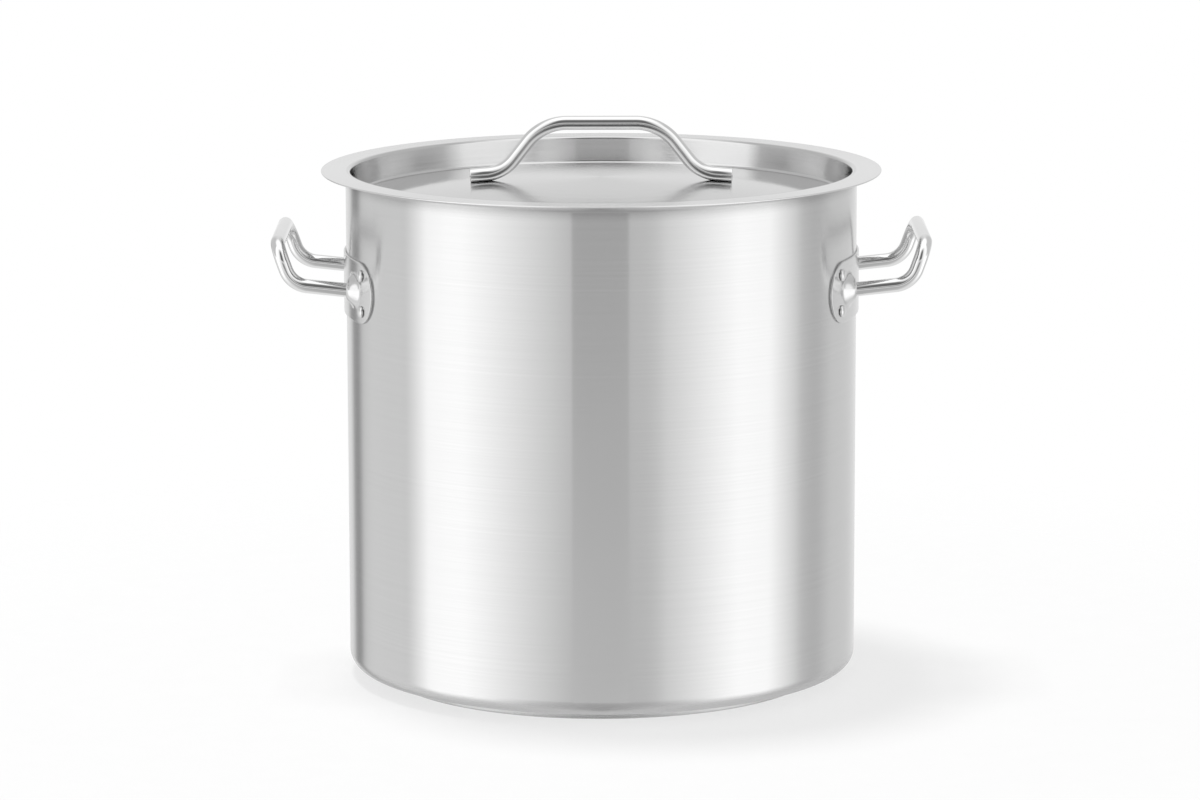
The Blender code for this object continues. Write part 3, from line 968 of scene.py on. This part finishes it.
def studio_world():
    """White ground to the camera. The metal sees that ground with the panels in it,
    and everything else is lit evenly."""
    world = bpy.data.worlds.new("studio")
    bpy.context.scene.world = world
    world.use_nodes = True
    tree = world.node_tree
    tree.nodes.clear()
    apart = add_node(tree, "ShaderNodeSeparateXYZ")
    join(tree, add_node(tree, "ShaderNodeTexCoord").outputs["Generated"], apart.inputs[0])
    x, y, z = apart.outputs
    ahead = arithmetic(tree, "MULTIPLY", y, -1.0)
    turn = arithmetic(tree, "DEGREES", arithmetic(tree, "ARCTAN2", x, ahead))
    card = spread(tree, z, CARD_LOW, CARD_MIDDLE, *CARD_LOW_TO_MIDDLE)
    low = ring_of_panels(tree, turn, LOW_GROUND, LOW_BEHIND, LOW_PANELS, card)
    high = ring_of_panels(tree, turn, HIGH_GROUND, HIGH_BEHIND, HIGH_PANELS, CARD_HIGH)
    studio = blended(tree, spread(tree, z, 0.0, 1.0, *LOW_TO_HIGH), low, high)
    studio = blended(tree, spread(tree, z, 1.0, 0.0, *FLOOR_TO_PANELS), studio, NEAR_FLOOR)
    studio = blended(tree, spread(tree, z, 0.0, 1.0, *PANELS_TO_OVERHEAD), studio, OVERHEAD)
    away = arithmetic(tree, "ABSOLUTE", turn)
    for stretch, reach in ((DARK_ABOVE, DARK_REACH), (CARD_FOOT, CARD_REACH)):
        shaded = add_panel(tree, z, studio, *stretch)
        studio = blended(tree, spread(tree, away, 1.0, 0.0, *reach), studio, shaded)
    path = add_node(tree, "ShaderNodeLightPath").outputs
    level = blended(tree, path["Is Glossy Ray"], EVEN_LIGHT, studio)
    level = blended(tree, path["Is Camera Ray"], level, 1.0)
    glow = add_node(tree, "ShaderNodeBackground")
    glow.inputs["Color"].default_value = (1.0, 1.0, 1.0, 1.0)
    join(tree, level, glow.inputs["Strength"])
    out = add_node(tree, "ShaderNodeOutputWorld")
    join(tree, glow.outputs[0], out.inputs["Surface"])


def mixed_shaders(tree, share, first, second):
    made = add_node(tree, "ShaderNodeMixShader")
    join(tree, share, made.inputs[0])
    join(tree, first, made.inputs[1])
    join(tree, second, made.inputs[2])
    return made.outputs[0]


def pale_floor():
    """A round pale floor that fades into the white ground. To the camera it is part
    white, so that the pot's shadow stays faint. The metal sees only its shaded part."""
    bm = bmesh.new()
    bmesh.ops.create_circle(bm, cap_ends=True, segments=FLOOR_SIDES, radius=FLOOR_RADIUS)
    mesh = bpy.data.meshes.new("floor")
    bm.to_mesh(mesh)
    bm.free()
    floor = bpy.data.objects.new("floor", mesh)
    bpy.context.scene.collection.objects.link(floor)
    made = bpy.data.materials.new("pale_floor")
    made.use_nodes = True
    tree = made.node_tree
    shader = tree.nodes["Principled BSDF"]
    shader.inputs["Roughness"].default_value = FLOOR_ROUGHNESS
    shader.inputs["Specular IOR Level"].default_value = 0.0
    place = object_place(tree)
    cast = noise(tree, place, FLOOR_GRAIN)
    join(tree, grey(tree, spread(tree, cast, *FLOOR_TONE)), shader.inputs["Base Color"])
    white = add_node(tree, "ShaderNodeEmission")
    path = add_node(tree, "ShaderNodeLightPath").outputs
    lift = arithmetic(tree, "MULTIPLY", path["Is Camera Ray"], FLOOR_LIFT)
    surface = mixed_shaders(tree, lift, shader.outputs[0], white.outputs[0])
    far = add_node(tree, "ShaderNodeVectorMath", operation="LENGTH")
    join(tree, place, far.inputs[0])
    there = spread(tree, far.outputs["Value"], 1.0, 0.0, *FLOOR_FADE)
    clear = spread(tree, far.outputs["Value"], 1.0 - FLOOR_IN_METAL, 1.0, *UNDER_POT)
    hidden = arithmetic(tree, "MULTIPLY", clear, path["Is Glossy Ray"])
    there = arithmetic(tree, "MULTIPLY", there, arithmetic(tree, "SUBTRACT", 1.0, hidden))
    nothing = add_node(tree, "ShaderNodeBsdfTransparent").outputs[0]
    faded = mixed_shaders(tree, there, nothing, surface)
    join(tree, faded, tree.nodes["Material Output"].inputs["Surface"])
    mesh.materials.append(made)


def soft_key():
    """One soft lamp, high above the pot, to its left and a little behind it."""
    lamp = bpy.data.lights.new("soft_key", "AREA")
    lamp.shape = "DISK"
    lamp.size = KEY_SIZE
    lamp.energy = KEY_POWER
    key = bpy.data.objects.new("soft_key", lamp)
    bpy.context.scene.collection.objects.link(key)
    key.location = KEY_PLACE
    key.visible_glossy = False
    down = Vector((0.0, 0.0, KEY_AIM)) - key.location
    key.rotation_euler = down.to_track_quat("-Z", "Y").to_euler()


def photo_camera():
    """The camera at the photograph's angle."""
    lens = bpy.data.cameras.new("camera")
    lens.sensor_fit = "HORIZONTAL"
    lens.sensor_width = CAMERA_SENSOR
    lens.lens = CAMERA_LENS
    lens.clip_start, lens.clip_end = CAMERA_CLIP
    camera = bpy.data.objects.new("camera", lens)
    bpy.context.scene.collection.objects.link(camera)
    tilt = Matrix.Rotation(CAMERA_TILT, 4, "X")
    roll = Matrix.Rotation(CAMERA_ROLL, 4, "Z")
    camera.matrix_world = Matrix.Translation(CAMERA_PLACE) @ tilt @ roll
    bpy.context.scene.camera = camera


# The pot

photo_camera()
studio_world()
pale_floor()
soft_key()

wall_steel = brushed_round_wall("wall_brushed_steel", tone=0.66, roughness=0.14, anisotropic=1.0)
inside_steel = brushed_in_circles(
    "inside_satin_steel", tone=0.66, roughness=0.32, anisotropic=0.6, metallic=0.55
)
lid_steel = brushed_in_circles(
    "lid_circle_brushed_steel", tone=0.64, roughness=0.14, anisotropic=0.92, rim_gain=1.2
)
cap_steel = brushed_in_circles("cap_turned_steel", tone=0.66, roughness=0.28, anisotropic=0.6)
rod_steel = polished_bar("rod_polished_steel", tone=0.78, roughness=0.06)
plate_steel = satin_plate("bracket_satin_steel", tone=0.69, roughness=0.15)
rivet_steel = polished_bar("rivet_bright_steel", tone=0.74, roughness=0.20)

sheet_tree = turned_sheet_tree()
rod_tree = bent_rod_tree()

shell = turned_piece("pot_shell", sheet_tree, pot_profile(), wall_steel)
dish = turned_piece("base_dish", sheet_tree, cap_profile(), cap_steel)
skin = turned_piece("lid_skin", sheet_tree, lid_profile(), lid_steel)
finish_inside(shell, inside_steel)
fit(shell, "pot", "brushed_steel", "pot_body")
fit(dish, "pot", "base_steel", "base_cap")
fit(skin, "lid", "lid_steel", "lid_panel")

grip_bends = [LID_FOOT_BEND, LID_GRIP_BEND, LID_GRIP_BEND, LID_FOOT_BEND]
loop_bends = [LEG_BEND, GRIP_BEND, GRIP_BEND, LEG_BEND]
right_corners = side_handle_corners()
left_corners = [Vector((-corner.x, -corner.y, corner.z)) for corner in right_corners]
grip = rod_piece("lid_grip", rod_tree, lid_handle_corners(), grip_bends, rod_steel)
right_loop = rod_piece("right_loop", rod_tree, right_corners, loop_bends, rod_steel)
left_loop = rod_piece("left_loop", rod_tree, left_corners, loop_bends, rod_steel)
fit(grip, "lid", "polished_rod", "lid_handle")
fit(right_loop, "pot", "polished_rod", "right_handle")
fit(left_loop, "pot", "polished_rod", "left_handle")

right_plate = bracket_piece("right_plate", 0, plate_steel)
left_plate = bracket_piece("left_plate", 1, plate_steel)
fit(right_plate, "pot", "bracket_steel", "right_bracket")
fit(left_plate, "pot", "bracket_steel", "left_bracket")
rivet_nodes = [f"{side}_rivet_{number}" for side in ("left", "right") for number in (1, 2, 3, 4)]
fit(rivet_pieces(rivet_steel), "pot", "rivet_steel", *rivet_nodes)

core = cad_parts["core_disc"]
core.data.materials.clear()
core.data.materials.append(rolled_aluminium("core_rolled_aluminium"))

bpy.context.scene.view_settings.view_transform = "Standard"
